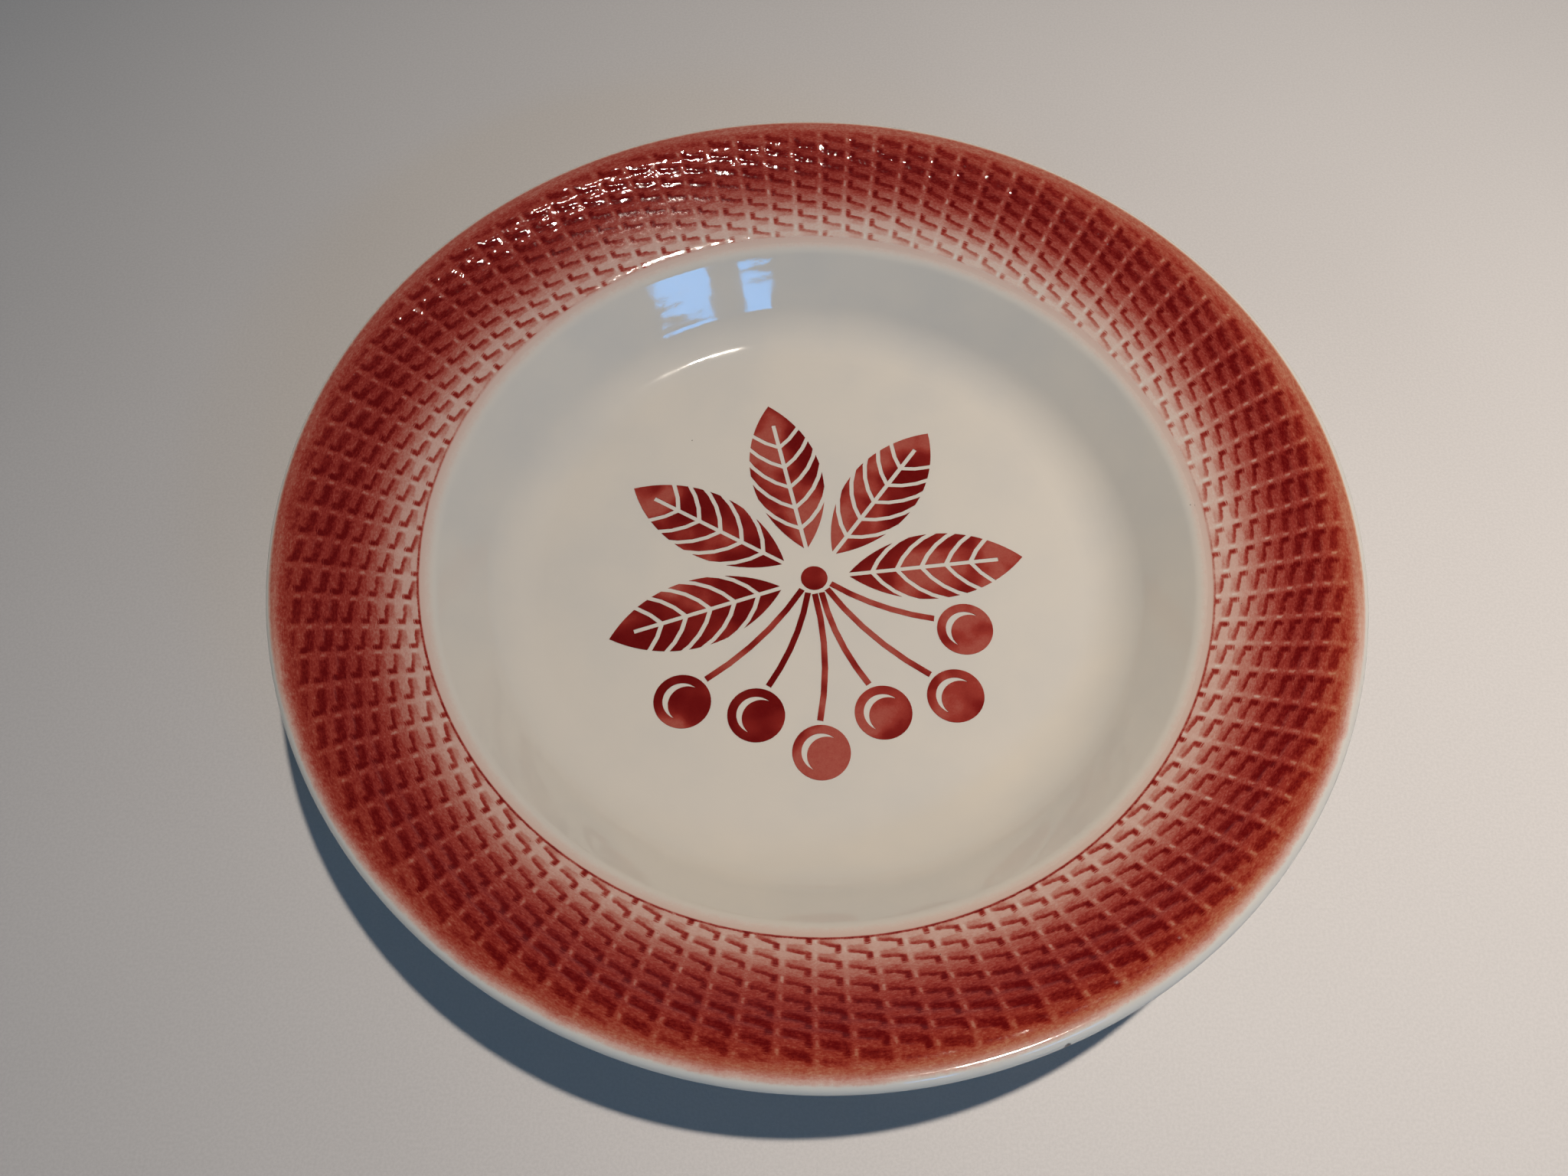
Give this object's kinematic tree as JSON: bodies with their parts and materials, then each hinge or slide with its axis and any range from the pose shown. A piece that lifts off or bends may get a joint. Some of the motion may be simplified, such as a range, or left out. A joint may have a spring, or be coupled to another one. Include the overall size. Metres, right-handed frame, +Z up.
{
  "type": "faience dish",
  "caption": "Round hollow serving dish in glazed faience, with a coved well, a sloping basket-weave rim sprayed red, a rolled white lip, a stencilled cherry sprig and a foot ring.",
  "frame": {"origin": "on the table under the middle of the dish", "axes": "+Z up along the dish's axis, +X to the right and +Y away from the viewer, with the cherries towards -Y"},
  "size_m": [0.3, 0.3, 0.0461],
  "materials": {
    "bare_clay": "dry fired clay",
    "white_glaze": "gloss",
    "red_spray": "gloss, mottled spray",
    "stencil_red": "gloss, airbrushed through a stencil"
  },
  "bodies": {
    "root": {"clay_body": "bare_clay", "glaze_coat": "white_glaze", "base_glaze": "white_glaze", "woven_border": "red_spray", "leaf_colour": "stencil_red", "cherry_colour": "stencil_red", "stalk_colour": "stencil_red"}
  },
  "joints": []
}
